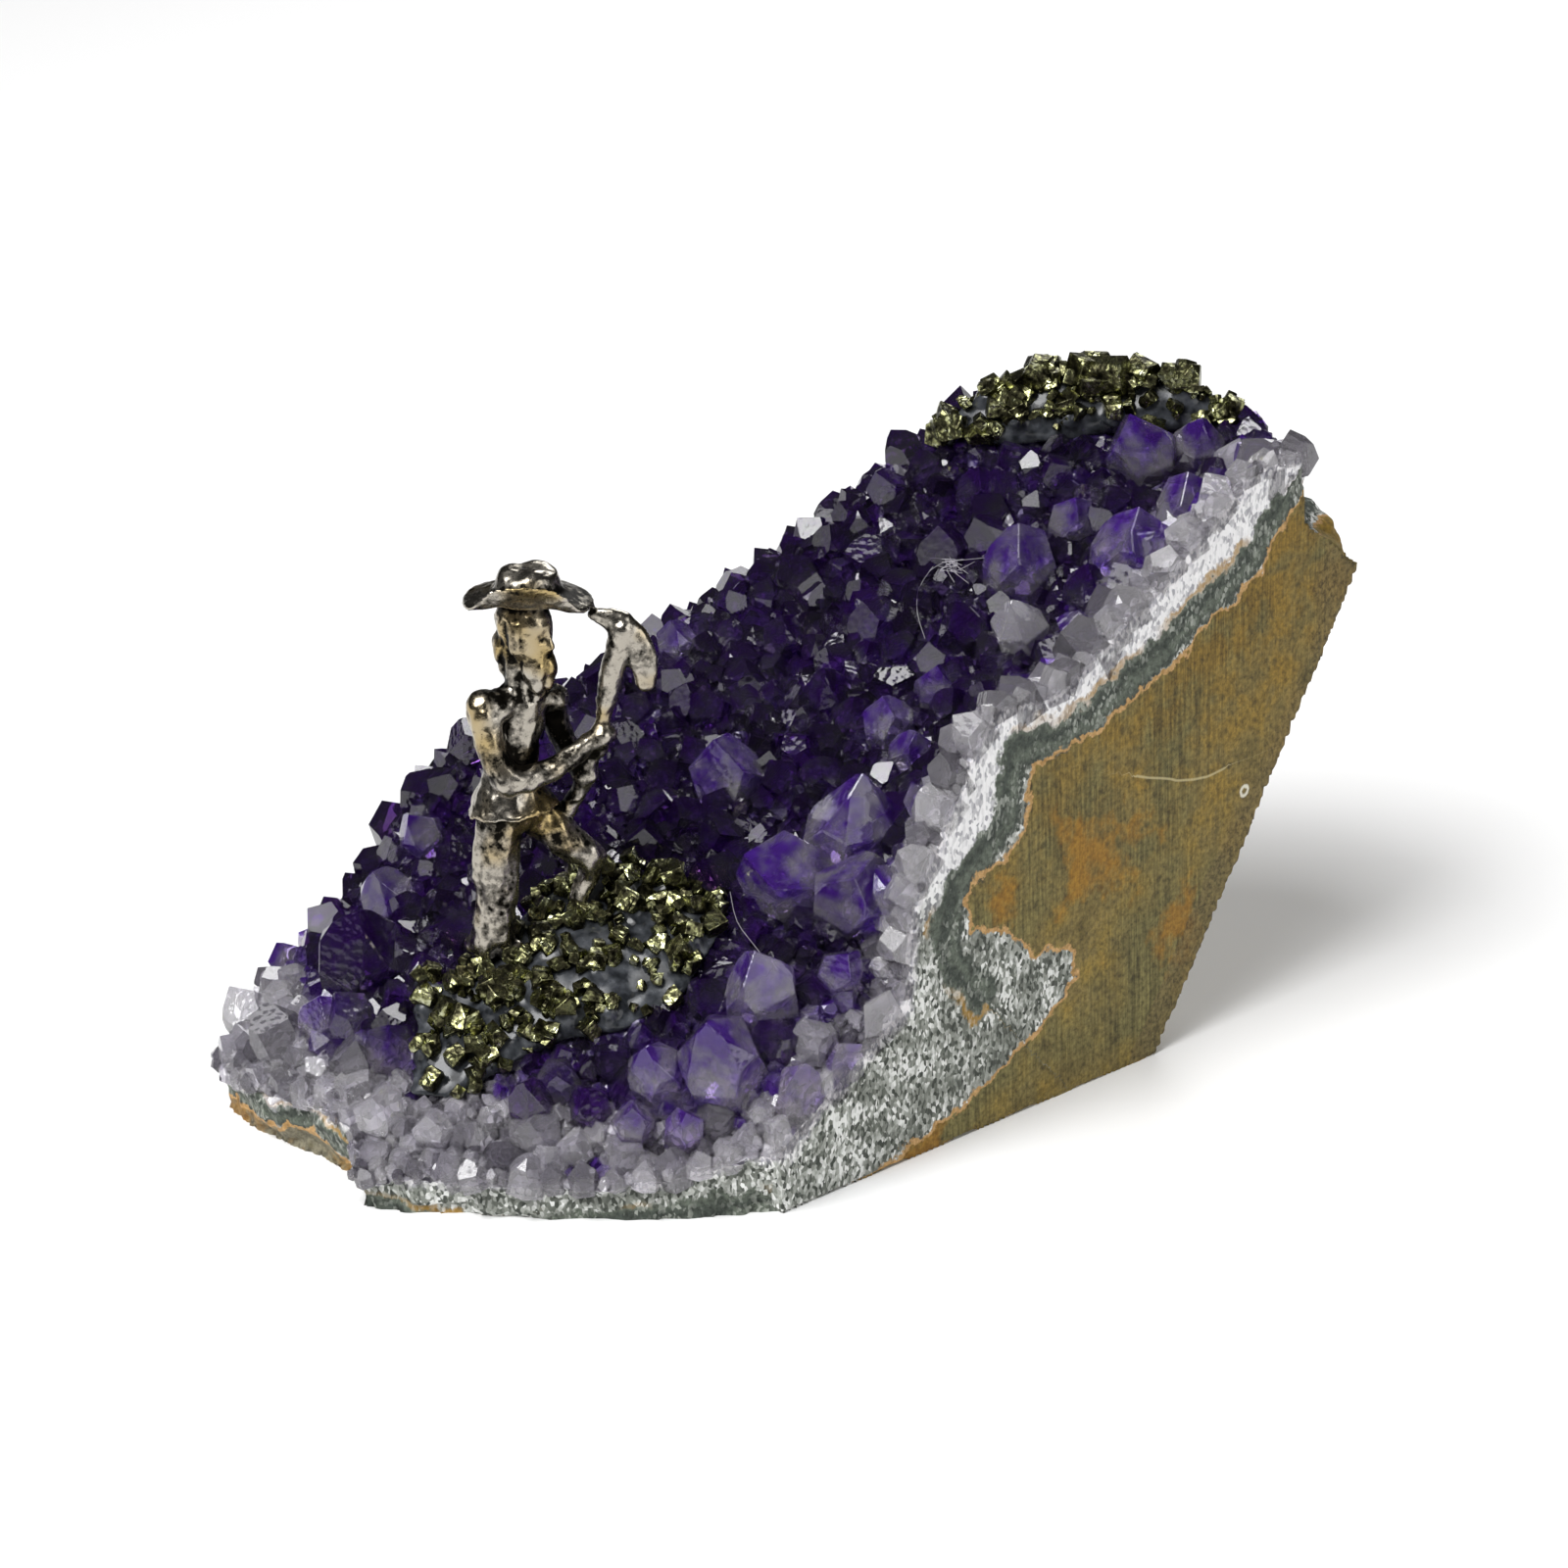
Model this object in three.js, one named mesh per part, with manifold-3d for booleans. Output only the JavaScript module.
// Amethyst geode slab: a wedge of basalt lined with agate and a crust of amethyst crystals, with a small
// pewter prospector standing on a bed of dark adhesive and pyrite chips, and more pyrite along the summit.
// Millimetres, +Z up. The stone stands on its flat sawn foot at z = 0. The crystals face front and left
// (-Y, -X), and the flat sawn side faces front and right.
import * as THREE from "three";
import { mergeVertices } from "three/addons/utils/BufferGeometryUtils.js";
import { MeshSurfaceSampler } from "three/addons/math/MeshSurfaceSampler.js";
import { ImprovedNoise } from "three/addons/math/ImprovedNoise.js";
import { ConvexGeometry } from "three/addons/geometries/ConvexGeometry.js";
import Module from "manifold-3d";

const wasm = await Module();
wasm.setup();

// Driving sizes
const CRUST = 2.8; // thickness of the quartz bed that the crystals grow from
const FINEST = 0.02; // edges shorter than this are closed up where solids are cut or joined
const ROOT = 1.3; // how deep a crystal is buried in the bed
const GAP = 0.3; // clearance between pieces that touch
const FLOOR_CLEARANCE = 1.2; // no crystal hangs lower than this
const SAW_TURN = 42.63; // the sawn side's direction, in degrees from +X
const SAW_START = new THREE.Vector3(0, -26.1, 0); // the sawn side's front corner
const ROUGHNESS = 1.5; // height of the lumps on the natural rock
const DRUSE_ROUGHNESS = 0.6; // height of the lumps under the crystals
const STEPS_PER_STATION = 1;

const UP = new THREE.Vector3(0, 0, 1);
const SAW_ALONG = new THREE.Vector3(1, 0, 0).applyAxisAngle(UP, THREE.MathUtils.degToRad(SAW_TURN));
const SAW_OUT = new THREE.Vector3().crossVectors(SAW_ALONG, UP);
// The way into the rock from the crystals. It lies in the sawn side's plane, so that face stays flat.
const INWARD = SAW_ALONG.clone().multiplyScalar(0.6).addScaledVector(UP, -0.8);

const noise = new ImprovedNoise();
const vec = (x, y, z = 0) => new THREE.Vector3(x, y, z);
const onSaw = (along, z = 0) => SAW_START.clone().addScaledVector(SAW_ALONG, along).setZ(z);

// A small seeded generator, so that the stone is the same each time
function seeded(seed) {
  let state = seed;
  return () => {
    state = (state * 1664525 + 1013904223) % 4294967296;
    return state / 4294967296;
  };
}

// Stations round the stone, counter-clockwise seen from above, starting at the front corner of the sawn
// side. Each says where the stone's foot, shoulder and rim lie, and a point half way into the druse.
const sawn = (foot, shoulder, rim, mid) => ({
  foot: onSaw(foot),
  shoulder: onSaw(...shoulder),
  rim: onSaw(...rim),
  mid: vec(...mid),
  rough: 0,
});
const natural = (foot, shoulder, rim, mid) => ({
  foot: vec(...foot),
  shoulder: vec(...shoulder),
  rim: vec(...rim),
  mid: vec(...mid),
  rough: 1,
});
const STATIONS = [
  sawn(0, [0, 1.0], [0, 3.9], [-2, -16, 18]),
  sawn(8, [9, 4], [10, 9.8], [2, -12, 21.5]),
  sawn(14, [15.5, 7], [16.5, 14], [4, -8.5, 24]),
  sawn(17, [18.5, 12], [17.6, 24], [5.5, -6, 26]),
  sawn(21, [24, 18], [24.5, 32.5], [8, -3, 28]),
  sawn(25, [29, 22], [29.3, 39.6], [10, 0, 30]),
  sawn(31, [38, 22], [39, 39.4], [13, 3, 32.5]),
  sawn(38, [50, 26], [51.7, 46], [18, 8, 37]),
  sawn(46, [66, 36], [64.8, 55], [23, 13, 41.5]),
  sawn(50.6, [78.4, 45.3], [67.9, 53.8], [24, 15.5, 43]),
  natural([35, 16], [56, 33, 47], [48, 29, 55.5], [24, 18, 44]),
  natural([28, 25], [50, 43, 47.5], [46.5, 37.5, 56.8], [23, 22, 45.5]),
  natural([15, 33], [35, 51, 47], [34, 42, 58.5], [17, 26, 45.5]),
  natural([2, 36], [17, 52, 45], [20, 42.5, 57.5], [10, 26, 42]),
  natural([-10, 34], [5, 48, 39], [10, 40, 50], [5, 24, 38]),
  natural([-20, 30], [-5, 43, 33], [2, 36, 43.5], [0, 22, 35]),
  natural([-30, 25], [-16, 36, 28], [-10, 30, 37.5], [-6, 18, 32]),
  natural([-38, 19], [-27, 28, 23.5], [-19.5, 24, 32.7], [-11, 15, 28.5]),
  natural([-45, 13], [-36.5, 20, 20.5], [-30.5, 16, 31.3], [-17, 10, 26]),
  natural([-50, 7], [-43.5, 12, 12.5], [-38.5, 9.5, 21.5], [-21, 6, 23.5]),
  natural([-53, 1.5], [-51.5, 4.5, 7], [-47, 4, 12.7], [-25, 2, 22]),
  natural([-54.4, -4], [-55.4, -3, 3], [-54, -2.2, 6.6], [-27, -2, 19.5]),
  natural([-51, -9], [-52, -9.5, 4], [-50.3, -8.3, 8.5], [-26, -6, 18.5]),
  natural([-43.5, -15.5], [-44, -16, 5], [-43, -14.8, 9.5], [-23, -9, 17.5]),
  natural([-40, -19.5], [-40.8, -20, 4], [-40, -18.8, 7.5], [-21, -12, 16.5]),
  natural([-39, -25], [-40, -25.4, 0.9], [-39, -24, 4.1], [-19, -15, 15]),
  natural([-30, -26.2], [-30, -26.9, 0.9], [-30, -25, 4], [-15, -16, 15]),
  natural([-20, -27.4], [-20, -28, 0.9], [-20, -26, 3.9], [-11, -17, 15.5]),
  natural([-9, -27.2], [-9, -27.6, 0.9], [-9, -25.8, 4], [-6, -17, 16.5]),
];
const HEART = vec(-3, 5, 27); // the middle of the druse
const FOOT_MIDDLE = vec(-8, 3);

// A point of a loop of stations, mixed evenly between two of them
function onLoop(loop, step) {
  const place = step / STEPS_PER_STATION;
  const a = STATIONS[Math.floor(place) % STATIONS.length];
  const b = STATIONS[(Math.floor(place) + 1) % STATIONS.length];
  return a[loop].clone().lerp(b[loop], place % 1);
}

// How rough the wall is at a step: none on the sawn side, corners included
function roughAt(step) {
  const place = step / STEPS_PER_STATION;
  const a = STATIONS[Math.floor(place) % STATIONS.length];
  const b = STATIONS[(Math.floor(place) + 1) % STATIONS.length];
  return place % 1 === 0 ? a.rough : Math.min(1, a.rough + b.rough) * (a.rough && b.rough ? 1 : 0.5);
}

// Smooth lumps of the given size, from about -1 to 1
function lumps(point, size, seed) {
  return 1.8 * noise.noise(point.x / size + seed, point.y / size, point.z / size);
}

const ringOf = (place) =>
  Array.from({ length: STATIONS.length * STEPS_PER_STATION }, (_, step) => place(step));

// One point of the natural or sawn wall. share runs from 0 at the foot to 1 at the rim.
function wallPoint(step, share, depth, grow) {
  const foot = onLoop("foot", step);
  const shoulder = onLoop("shoulder", step);
  const rim = onLoop("rim", step).addScaledVector(INWARD, depth);
  const point = share < 0.6 ? foot.lerp(shoulder, share / 0.6) : shoulder.lerp(rim, (share - 0.6) / 0.4);
  const outward = point.clone().sub(FOOT_MIDDLE).setZ(0).normalize();
  const lump = 0.65 * lumps(point, 11, 3) + 0.35 * lumps(point, 5, 8);
  const fade = Math.min(1, share * 4, (1 - share) * 4, point.z / 8);
  return point.addScaledVector(outward, ROUGHNESS * roughAt(step) * fade * lump + grow);
}

// One point of the druse, depth below the crystals' bed. share runs from 0 at the rim to 1 at its heart.
function drusePoint(step, share, depth) {
  const rim = onLoop("rim", step);
  const mid = onLoop("mid", step);
  const across = new THREE.CatmullRomCurve3([rim, mid, HEART]);
  const point = across.getPoint(share);
  const fade = Math.min(1, share * 5);
  point.z += DRUSE_ROUGHNESS * fade * lumps(point, 9, 21);
  return point.addScaledVector(INWARD, depth);
}

// A closed skin through rings of equal length, from one pole to the other
function skin(firstPole, rings, lastPole) {
  const count = rings[0].length;
  const last = 1 + rings.length * count;
  const at = (ring, i) => 1 + ring * count + (i % count);
  const index = [];
  for (let i = 0; i < count; i++) {
    index.push(0, at(0, i + 1), at(0, i));
    for (let ring = 0; ring + 1 < rings.length; ring++) {
      index.push(at(ring, i), at(ring, i + 1), at(ring + 1, i + 1));
      index.push(at(ring, i), at(ring + 1, i + 1), at(ring + 1, i));
    }
    index.push(at(rings.length - 1, i), at(rings.length - 1, i + 1), last);
  }
  const points = [firstPole, ...rings.flat(), lastPole];
  return new THREE.BufferGeometry().setFromPoints(points).setIndex(index);
}

// A closed geometry as a solid, for cutting and joining
function solidOf(geometry) {
  const plain = geometry.clone();
  plain.deleteAttribute("normal");
  plain.deleteAttribute("uv");
  const merged = mergeVertices(plain, 1e-4);
  return new wasm.Manifold(
    new wasm.Mesh({
      numProp: 3,
      vertProperties: merged.attributes.position.array,
      triVerts: new Uint32Array(merged.index.array),
      tolerance: FINEST,
    }),
  );
}

// A geometry without the triangles that closed up when their corners were merged
function withoutSlivers(geometry) {
  const kept = [];
  const index = geometry.index.array;
  for (let i = 0; i < index.length; i += 3) {
    const [a, b, c] = [index[i], index[i + 1], index[i + 2]];
    if (a !== b && b !== c && c !== a) kept.push(a, b, c);
  }
  return geometry.setIndex(kept);
}

// The body with the most triangles in a geometry. A cut can leave crumbs beside it.
function largestBody(geometry) {
  const index = Array.from(geometry.index.array);
  const parent = Array.from({ length: geometry.attributes.position.count }, (_, i) => i);
  const rootOf = (corner) => {
    let root = corner;
    while (parent[root] !== root) root = parent[root];
    parent[corner] = root;
    return root;
  };
  for (let i = 0; i < index.length; i += 3) {
    parent[rootOf(index[i + 1])] = rootOf(index[i]);
    parent[rootOf(index[i + 2])] = rootOf(index[i]);
  }
  const corners = new Map();
  for (const corner of index) corners.set(rootOf(corner), (corners.get(rootOf(corner)) ?? 0) + 1);
  const [largest] = [...corners].sort((a, b) => b[1] - a[1])[0];
  return geometry.setIndex(index.filter((corner) => rootOf(corner) === largest));
}

// A solid's largest body as a geometry again
function geometryOf(solid) {
  const mesh = solid.getMesh();
  const geometry = new THREE.BufferGeometry()
    .setAttribute("position", new THREE.BufferAttribute(mesh.vertProperties, 3))
    .setIndex(new THREE.BufferAttribute(mesh.triVerts, 1));
  return withoutSlivers(mergeVertices(largestBody(geometry), FINEST / 2));
}

const joined = (solids) => solids.reduce((whole, solid) => whole.add(solid));
const boxSolid = (size, centre) =>
  solidOf(new THREE.BoxGeometry(...size).translate(centre.x, centre.y, centre.z));

// A block that covers all space on the far side of the sawn plane
function beyondSaw() {
  const size = 200;
  const block = new THREE.BoxGeometry(size, size, size);
  block.rotateZ(THREE.MathUtils.degToRad(SAW_TURN));
  const centre = SAW_START.clone().addScaledVector(SAW_OUT, size / 2);
  return solidOf(block.translate(centre.x, centre.y, centre.z));
}

const DRUSE_SHARES = [0.12, 0.3, 0.5, 0.7, 0.88];
const WALL_SHARES = [0, 0.15, 0.3, 0.45, 0.6, 0.75, 0.9, 1];

// The rock: foot, walls and the bed under the crystals
function stoneGeometry(depth, grow) {
  const rings = [
    ringOf((step) => FOOT_MIDDLE.clone().lerp(wallPoint(step, 0, depth, grow).setZ(0), 0.6)),
    ...WALL_SHARES.map((share) => ringOf((step) => wallPoint(step, share, depth, grow))),
    ...DRUSE_SHARES.map((share) => ringOf((step) => drusePoint(step, share, depth))),
  ];
  return skin(FOOT_MIDDLE, rings, drusePoint(0, 1, depth));
}

// The crystals' bed: a sheet of quartz that follows the druse
function bedGeometry(rise = 0) {
  const under = [...DRUSE_SHARES].reverse().map((share) => ringOf((step) => drusePoint(step, share, CRUST)));
  const over = DRUSE_SHARES.map((share) => ringOf((step) => drusePoint(step, share, -rise)));
  const rims = [CRUST, -rise].map((depth) => ringOf((step) => drusePoint(step, 0, depth)));
  return skin(drusePoint(0, 1, CRUST), [...under, ...rims, ...over], drusePoint(0, 1, -rise));
}

// The open top of the bed, for finding heights and scattering crystals
function druseSheet() {
  const geometry = bedGeometry();
  const ringLength = STATIONS.length * STEPS_PER_STATION;
  const lowerPoints = 1 + (DRUSE_SHARES.length + 1) * ringLength;
  const kept = [];
  const index = geometry.index.array;
  for (let i = 0; i < index.length; i += 3) {
    const face = [index[i], index[i + 1], index[i + 2]];
    if (Math.min(...face) >= lowerPoints) kept.push(...face);
  }
  const sheet = geometry.clone().setIndex(kept).toNonIndexed();
  sheet.computeVertexNormals();
  return new THREE.Mesh(sheet, new THREE.MeshBasicMaterial({ side: THREE.DoubleSide }));
}

const sheet = druseSheet();
sheet.updateMatrixWorld(true);
const plumb = new THREE.Raycaster();

// The druse's height and outward normal under a point of the plan, or null past its rim
function druseAt(x, y) {
  plumb.set(vec(x, y, 200), vec(0, 0, -1));
  const hit = plumb.intersectObject(sheet)[0];
  return hit ? { point: hit.point, normal: hit.face.normal } : null;
}

// Adhesive beds, as lobed patches of the druse: centre, half width and half length, turn, thickness
const CAMP = { centre: [-20.3, -10.8], half: [15.6, 8.4], turn: 20, thickness: 3.3, seed: 4 };
const SUMMIT = { centre: [31.2, 39.4], half: [15.6, 2.6], turn: -4, thickness: 4, seed: 9 };

// How far out a point of the plan is in a patch: 0 in its middle, 1 at its edge
function patchShare(patch, x, y, margin = 0) {
  const turn = THREE.MathUtils.degToRad(-patch.turn);
  const at = vec(x - patch.centre[0], y - patch.centre[1]).applyAxisAngle(UP, turn);
  return Math.hypot(at.x / (patch.half[0] + margin), at.y / (patch.half[1] + margin));
}

// A point of a patch: share runs from 0 in its middle to 1 at its edge
function patchPoint(patch, angle, share, lift, grow = 0) {
  const lobe = 1 + 0.14 * Math.sin(3 * angle + patch.seed) + 0.1 * Math.sin(5 * angle + 2 * patch.seed);
  const edge = share === 1 ? 2 * grow : 0;
  const at = vec(
    (patch.half[0] * lobe * share + edge) * Math.cos(angle),
    (patch.half[1] * lobe * share + edge) * Math.sin(angle),
  ).applyAxisAngle(UP, THREE.MathUtils.degToRad(patch.turn));
  let [x, y] = [patch.centre[0] + at.x, patch.centre[1] + at.y];
  let under = druseAt(x, y);
  for (let tries = 0; !under && tries < 200; tries++) {
    x += (patch.centre[0] - x) * 0.01;
    y += (patch.centre[1] - y) * 0.01;
    under = druseAt(x, y);
  }
  return under.point.clone().addScaledVector(UP, lift);
}

const PATCH_SIDES = 18;
function patchGeometry(patch, grow) {
  const ring = (share, lift) =>
    Array.from({ length: PATCH_SIDES }, (_, i) => {
      const angle = (i / PATCH_SIDES) * 2 * Math.PI;
      const ripple = 1 + 0.25 * noise.noise(3 * share * Math.cos(angle), 3 * share * Math.sin(angle), patch.seed);
      return patchPoint(patch, angle, share, lift * ripple, grow);
    });
  const top = (share) => patch.thickness * Math.sqrt(1 - share * share * 0.9) + grow;
  return skin(
    patchPoint(patch, 0, 0, -2 * grow, grow),
    [
      ...[0.5, 0.9].map((share) => ring(share, -2 * grow)),
      ...[1, 0.85, 0.5].map((share) => ring(share, top(share))),
    ],
    patchPoint(patch, 0, 0, top(0), grow),
  );
}

// One quartz crystal standing on +Z: six flat sides and a six-sided point. root is how far it is buried.
function crystalGeometry(radius, shaft, root) {
  const tip = 1.1 * radius;
  const profile = [
    new THREE.Vector2(0, -root),
    new THREE.Vector2(0.85 * radius, -root),
    new THREE.Vector2(radius, shaft),
    new THREE.Vector2(0, shaft + tip),
  ];
  return new THREE.LatheGeometry(profile, 6).rotateX(Math.PI / 2);
}

// A crystal grown from the druse at a point, leaning a little off the surface's own direction
function grown(point, normal, radius, shaft, lean, spin) {
  const axis = normal.clone().addScaledVector(lean, 1).normalize();
  const turn = new THREE.Quaternion().setFromUnitVectors(UP, axis);
  const roll = new THREE.Quaternion().setFromAxisAngle(UP, spin);
  const place = new THREE.Matrix4().compose(point, turn.multiply(roll), vec(1, 1, 1));
  return solidOf(crystalGeometry(radius, shaft, ROOT).applyMatrix4(place));
}

// The crystals that stand out: plan position, radius and shaft
const LARGE_CRYSTALS = [
  [6.2, -9.4, 4.6, 2.6],
  [0.6, -10.6, 4.2, 2.2],
  [6.4, -13.2, 4.0, 2.0],
  [-4.6, 7.8, 3.4, 2.6],
  [-3.0, -17.6, 3.3, 2.4],
  [-6.4, -21.2, 3.6, 1.6],
  [-10.2, -21.8, 3.0, 1.6],
  [32.5, 16.5, 4.4, 2.0],
  [24.5, 19.0, 4.2, 1.6],
  [37.5, 20.5, 4.0, 1.8],
  [41.5, 26.0, 3.6, 1.6],
  [36.5, 29.5, 4.2, 1.6],
  [24.5, 11.0, 3.8, 1.4],
  [-48.6, -2.6, 3.4, 1.8],
  [-41.2, -1.6, 4.0, 1.6],
  [3.5, 27.0, 3.6, 2.2],
  [-12.0, 14.5, 3.2, 2.0],
  [12.5, 26.5, 3.4, 2.0],
];
const CRYSTAL_TRIES = 4200;
const CRYSTALS_MOST = 60;

function crystalSolids() {
  const random = seeded(2024);
  const spread = () => vec(random() - 0.5, random() - 0.5, random() - 0.5).multiplyScalar(0.75);
  const placed = [];
  const solids = [];
  const clear = (point, radius) => placed.every((p) => p.point.distanceTo(point) > 0.86 * (p.radius + radius));
  const inBeds = (p) => [CAMP, SUMMIT].some((patch) => patchShare(patch, p.x, p.y, 1) < 1);
  const hitsChip = (p, radius) => chips.some((chip) => chip.at.distanceTo(p) < radius + 2.4 * chip.size);
  const add = (point, normal, radius, shaft) => {
    placed.push({ point: point.clone(), radius });
    solids.push(grown(point, normal, radius, shaft, spread(), random() * Math.PI));
  };
  for (const [x, y, radius, shaft] of LARGE_CRYSTALS) {
    const { point, normal } = druseAt(x, y);
    if (!hitsChip(point, radius)) add(point, normal, radius, shaft);
  }
  const sampler = new MeshSurfaceSampler(sheet).setRandomGenerator(random).build();
  const point = vec(0, 0);
  const normal = vec(0, 0);
  for (let tries = 0; tries < CRYSTAL_TRIES && placed.length < CRYSTALS_MOST; tries++) {
    sampler.sample(point, normal);
    const radius = 1.8 + 2.0 * random() ** 1.4;
    const fits = clear(point, radius) && !inBeds(point) && !hitsChip(point, radius);
    if (fits) add(point, normal, radius, 0.8 + 1.2 * random());
  }
  return solids;
}

// A tube through points of given radii with rounded ends, for the cast figure. flat squeezes it along Y.
function limb(points, radii, { sides = 6, rings = 5, flat = 1 } = {}) {
  const path = new THREE.CatmullRomCurve3(points.map((p) => vec(...p)));
  const frames = path.computeFrenetFrames(rings - 1);
  const radiusAt = (share) => {
    const place = share * (radii.length - 1);
    const low = Math.min(Math.floor(place), radii.length - 2);
    return THREE.MathUtils.lerp(radii[low], radii[low + 1], place - low);
  };
  const ring = (n) => {
    const share = n / (rings - 1);
    const centre = path.getPoint(share);
    return Array.from({ length: sides }, (_, i) => {
      const angle = (i / sides) * 2 * Math.PI;
      const out = frames.normals[n].clone().multiplyScalar(Math.cos(angle));
      out.addScaledVector(frames.binormals[n], Math.sin(angle)).multiplyScalar(radiusAt(share));
      return centre.clone().add(out.setY(out.y * flat));
    });
  };
  const ends = [0, rings - 1].map((n, end) => {
    const along = frames.tangents[n].clone().multiplyScalar(end ? 1 : -1);
    return path.getPoint(end).addScaledVector(along, 0.6 * radiusAt(end));
  });
  return skin(ends[0], Array.from({ length: rings }, (_, n) => ring(n)), ends[1]);
}

// An ellipsoid of given half sizes, its poles up and down
function ball(centre, half) {
  const geometry = new THREE.SphereGeometry(1, 8, 6).rotateX(Math.PI / 2).scale(...half);
  return geometry.translate(...centre);
}

// The wide-brimmed hat, its brim curled up at two sides
const HAT = { brim: 6.1, crown: 2.75, height: 4.2, curl: 0.016, edge: 0.35 };
function hat(centre) {
  const profile = [
    [0, -0.8],
    [HAT.brim * 0.6, -0.75],
    [HAT.brim, -0.4],
    [HAT.brim, HAT.edge],
    [HAT.crown + 0.4, 0.3],
    [HAT.crown * 0.9, HAT.height * 0.75],
    [HAT.crown * 0.5, HAT.height],
    [0, HAT.height * 0.94],
  ].map(([x, y]) => new THREE.Vector2(x, y));
  const geometry = new THREE.LatheGeometry(profile, 14).rotateX(Math.PI / 2);
  const position = geometry.attributes.position;
  for (let i = 0; i < position.count; i++) {
    const [x, y] = [position.getX(i), position.getY(i)];
    if (Math.hypot(x, y) > HAT.crown + 0.5) position.setZ(i, position.getZ(i) + HAT.curl * (x * x - 0.6 * y * y));
  }
  return geometry.translate(...centre);
}

// The prospector, cast in one piece. Its own frame has the rear boot's sole at the origin; it strides
// towards +X and a little to the front, with both hands on a pick.
const FIGURE_AT = vec(-27.6, -8.6);
const FIGURE_FACING = THREE.MathUtils.degToRad(-30);
const FIGURE_SINK = 0.5; // how far the boots stand in the adhesive

function figureParts() {
  const facing = vec(1, 0, 0).applyAxisAngle(UP, FIGURE_FACING);
  const head = vec(3.9, 0, 31.4);
  const onHead = (out, up) => head.clone().addScaledVector(facing, out).addScaledVector(UP, up).toArray();
  const rearLeg = limb([[1.2, -0.8, 15.2], [0.6, -1, 8], [0.1, -0.6, 2.2]], [2.3, 2.1, 1.7], { rings: 4 });
  const rearBoot = limb([[-1.2, -0.2, 0.9], [0.3, -0.7, 1.1], [2.1, -1.5, 0.8]], [1, 1.3, 0.9], { rings: 3 });
  const frontThigh = limb([[3.4, 0.6, 14.6], [6, 0.9, 12], [8.5, 1.1, 8.9]], [2.2, 1.9, 1.4], { rings: 3 });
  const frontShin = limb([[8.5, 1.1, 9.3], [8.1, 1.5, 5.6], [8.6, 1.5, 2.4]], [1.35, 1.15, 0.9], { rings: 3 });
  const frontBoot = limb([[7.9, 1.9, 2.3], [9.4, 1.1, 2.1], [10.7, 0.3, 1.9]], [0.9, 0.95, 0.7], { rings: 3 });
  const coat = limb([[2.3, -0.1, 14.4], [2.5, -0.1, 16.6], [2.9, 0, 19.5], [3, 0.1, 24.6]], [4.3, 3.5, 2.6, 2.5], {
    sides: 8,
    flat: 0.86,
  });
  const shoulders = limb([[0.6, -1.7, 24.6], [3.2, 0, 25.6], [5.6, 1.8, 24.8]], [1.4, 1.6, 1.3], { rings: 3 });
  const neck = limb([[3.4, 0, 25], [3.7, 0, 29]], [1.9, 1.8], { rings: 2 });
  const skull = ball(head.toArray(), [2.5, 2.45, 3.3]);
  const nose = ball(onHead(2.2, -0.3), [0.75, 0.55, 0.9]);
  const chin = ball(onHead(1.7, -2.2), [1, 1, 0.9]);
  const nearUpperArm = limb([[0.4, -2.1, 24.6], [0.9, -3, 21.4], [2.2, -3.5, 19.2]], [1.4, 1.3, 1.2], { rings: 4 });
  const nearForearm = limb([[1.9, -3.5, 19.1], [6, -2.4, 19.9], [10.6, -0.4, 21.9]], [1.3, 1.15, 0.95], { rings: 3 });
  const farArm = limb([[5.6, 2, 24.6], [6.7, 2.5, 20.6], [8.7, 1.2, 17.4]], [1.3, 1.2, 1], { rings: 4 });
  const nearHand = ball([10.7, -0.2, 22], [1.35, 1.35, 1.35]);
  const farHand = ball([9, 0.8, 17.4], [1.25, 1.3, 1.25]);
  const handle = limb([[6.6, 1.3, 12.6], [8.9, 0.8, 16.8], [10.6, 0, 21.8], [11.4, -0.2, 27.1], [12.7, -0.2, 31.8]],
    [0.95, 0.9, 0.9, 0.95, 1.2], { rings: 6 });
  const pickHead = limb([[10.2, -0.2, 34], [12.3, -0.2, 33.2], [14.1, -0.2, 30.8], [15, -0.2, 27.1]],
    [0.55, 1.5, 1.6, 0.7], { rings: 5, flat: 0.7 });
  const legs = [rearLeg, rearBoot, frontThigh, frontShin, frontBoot];
  const body = [coat, shoulders, neck, skull, nose, chin, hat([4.1, 0, 34.6])];
  return [...legs, ...body, nearUpperArm, nearForearm, farArm, nearHand, farHand, handle, pickHead];
}

function figureSolid() {
  const ground = druseAt(FIGURE_AT.x, FIGURE_AT.y).point.z + CAMP.thickness - FIGURE_SINK;
  return joined(figureParts().map((part) => solidOf(part.translate(FIGURE_AT.x, FIGURE_AT.y, ground))));
}

// Pyrite chips: angular lumps of a few blocks each, seated in the adhesive
function chipBlock(random, size) {
  const half = [size * (0.8 + 0.3 * random()), size * (0.65 + 0.2 * random()), size * (0.5 + 0.2 * random())];
  const points = [];
  for (const x of [-1, 1]) {
    for (const y of [-1, 1]) {
      for (const z of [-1, 1]) {
        const jitter = () => 0.8 + 0.3 * random();
        points.push(vec(x * half[0] * jitter(), y * half[1] * jitter(), z * half[2] * jitter()));
      }
    }
  }
  const turn = new THREE.Euler(0.7 * (random() - 0.5), 0.7 * (random() - 0.5), 2 * Math.PI * random());
  return new ConvexGeometry(points).applyMatrix4(new THREE.Matrix4().makeRotationFromEuler(turn));
}

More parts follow.
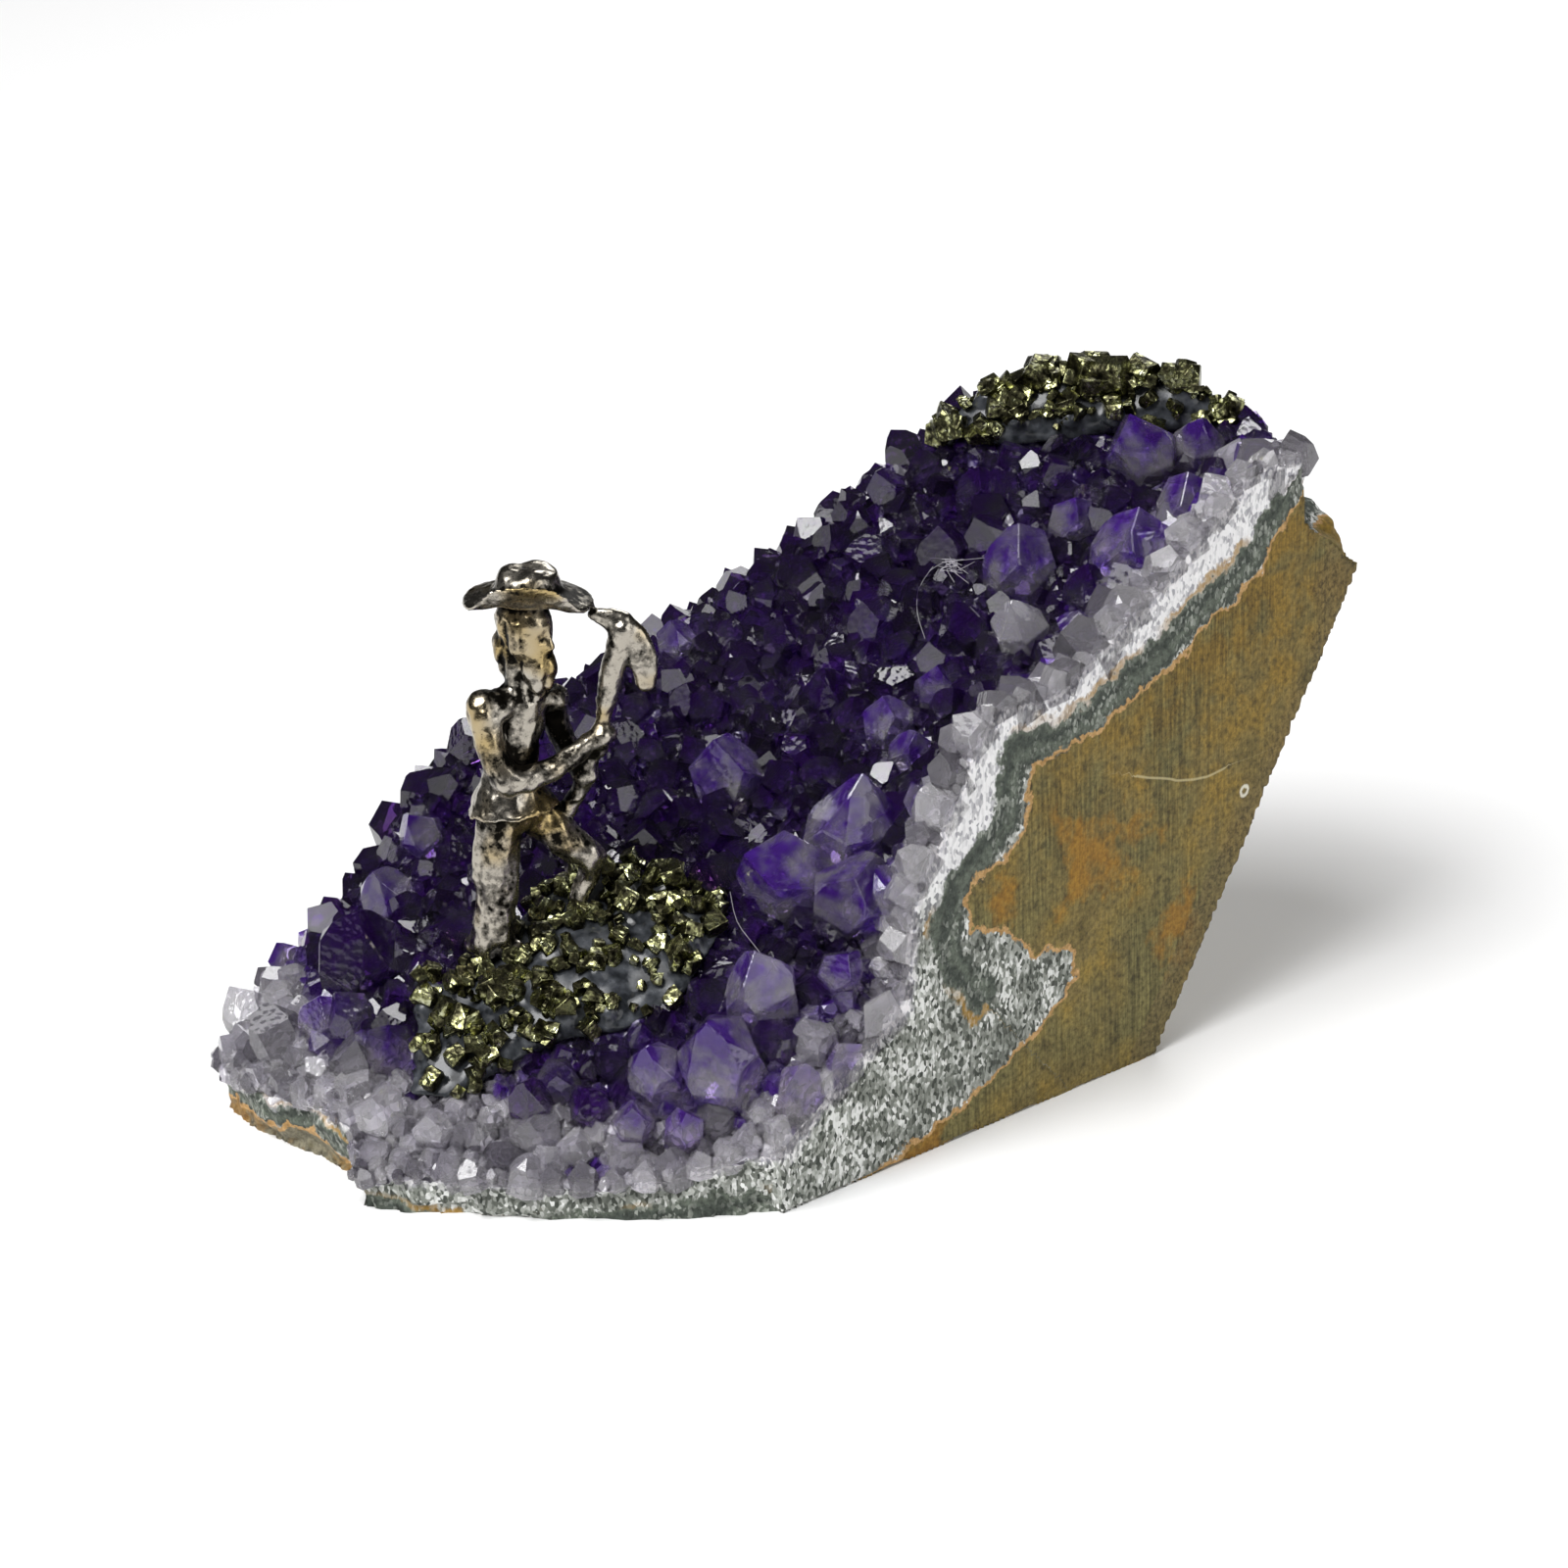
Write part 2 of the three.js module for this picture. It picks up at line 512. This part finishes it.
function chipSolid(chip) {
  const random = seeded(chip.seed);
  const blocks = Array.from({ length: chip.blocks }, (_, n) => {
    const way = vec(random() - 0.5, random() - 0.5, 0.5 * random()).normalize();
    const block = chipBlock(random, n ? 0.66 * chip.size : chip.size);
    const centre = chip.at.clone().addScaledVector(way, n ? 0.62 * chip.size : 0);
    return solidOf(block.translate(...centre.toArray()));
  });
  return joined(blocks);
}

// The chips on each bed: plan position, size and how many blocks make it
const CAMP_CHIPS = [
  [-31.5, -4.5, 1.1, 1],
  [-34, -8.5, 1.2, 1],
  [-30.5, -12, 1.3, 1],
  [-33.5, -13, 1.2, 1],
  [-33.5, -16.5, 1.1, 1],
  [-30.3, -16, 1.3, 2],
  [-27.5, -19, 1.2, 1],
  [-26.6, -15.2, 1.7, 2],
  [-23.5, -18, 1.2, 1],
  [-23.2, -14, 1.2, 1],
  [-20, -16.6, 1.4, 2],
  [-17.6, -13.4, 1.2, 1],
  [-16.2, -16.6, 1, 1],
  [-22.4, -10.4, 1.2, 1],
  [-23, -6.4, 1.1, 1],
  [-15.2, -10.6, 1.1, 1],
  [-14.2, -7.2, 1.2, 1],
  [-12, -11.6, 1.2, 1],
  [-8.6, -10.8, 1.2, 1],
  [-10.6, -7.6, 1.3, 1],
  [-6.6, -6.8, 1.2, 1],
  [-7.4, -3.2, 1.2, 1],
  [-11, -4, 1.9, 2],
  [-15, -3.6, 1.2, 1],
].map(([x, y, size, blocks]) => ({ patch: CAMP, x, y, size, blocks }));
const SUMMIT_CHIPS = [
  [16.5, 39.8, 1.6, 2],
  [20.8, 40.6, 1.2, 1],
  [23.6, 38.4, 1.2, 1],
  [26.6, 41, 1.6, 2],
  [29, 37.8, 1.1, 1],
  [31.8, 40.8, 2.1, 2],
  [33.4, 37.2, 1.1, 1],
  [36.4, 39.8, 1.5, 2],
  [37.6, 36.6, 1.1, 1],
  [40.6, 38.6, 1.5, 2],
  [42, 35.8, 1, 1],
  [44.8, 37, 1.3, 1],
].map(([x, y, size, blocks]) => ({ patch: SUMMIT, x, y, size, blocks }));

// A chip's place on its bed, and its own seed and name
function seated(chip, n, { length }) {
  const share = Math.min(1, patchShare(chip.patch, chip.x, chip.y));
  const top = chip.patch.thickness * Math.sqrt(1 - share * share * 0.9);
  const at = druseAt(chip.x, chip.y).point.addScaledVector(UP, top + 0.2 * chip.size);
  const name = chip.patch === CAMP ? "camp" : "summit";
  return { ...chip, at, seed: 31 * (n + length), name: `pyrite_chip_${name}_${n + 1}` };
}

const chips = [...CAMP_CHIPS.map(seated), ...SUMMIT_CHIPS.map(seated)];

// Colours from the specimen, as sRGB
const finish = (color, roughness, metalness) => new THREE.MeshStandardMaterial({ color, roughness, metalness });
const FINISHES = {
  basalt: finish(0x7d6b3a, 0.9, 0),
  amethyst: finish(0x4a2f7c, 0.15, 0),
  adhesive: finish(0x34363b, 0.3, 0),
  pyrite: finish(0x8f8350, 0.35, 1),
  pewter: finish(0xa39a86, 0.35, 1),
};

const geode = new THREE.Group();
function addPiece(name, solid, material) {
  const mesh = new THREE.Mesh(geometryOf(solid), material);
  mesh.name = name;
  geode.add(mesh);
}

addPiece("basalt_matrix", solidOf(stoneGeometry(CRUST + GAP, 0)), FINISHES.basalt);

const campBed = solidOf(patchGeometry(CAMP, 0));
const summitBed = solidOf(patchGeometry(SUMMIT, 0));
const grownBeds = solidOf(patchGeometry(CAMP, GAP)).add(solidOf(patchGeometry(SUMMIT, GAP)));
const belowFloor = boxSolid([200, 200, 100], vec(0, 0, FLOOR_CLEARANCE - 50));
const crust = joined([solidOf(bedGeometry()), ...crystalSolids()])
  .subtract(solidOf(stoneGeometry(CRUST, GAP)))
  .subtract(beyondSaw())
  .subtract(belowFloor)
  .subtract(grownBeds);
addPiece("amethyst_crust", crust, FINISHES.amethyst);

addPiece("adhesive_bed_camp", campBed, FINISHES.adhesive);
addPiece("adhesive_bed_summit", summitBed, FINISHES.adhesive);

const seats = [grownBeds, solidOf(bedGeometry(GAP)), campBed, summitBed];
const seatedOn = (solid) => seats.reduce((left, bed) => left.subtract(bed), solid);
addPiece("prospector_figure", seatedOn(figureSolid()), FINISHES.pewter);
for (const chip of chips) addPiece(chip.name, seatedOn(chipSolid(chip)), FINISHES.pyrite);

export default geode;
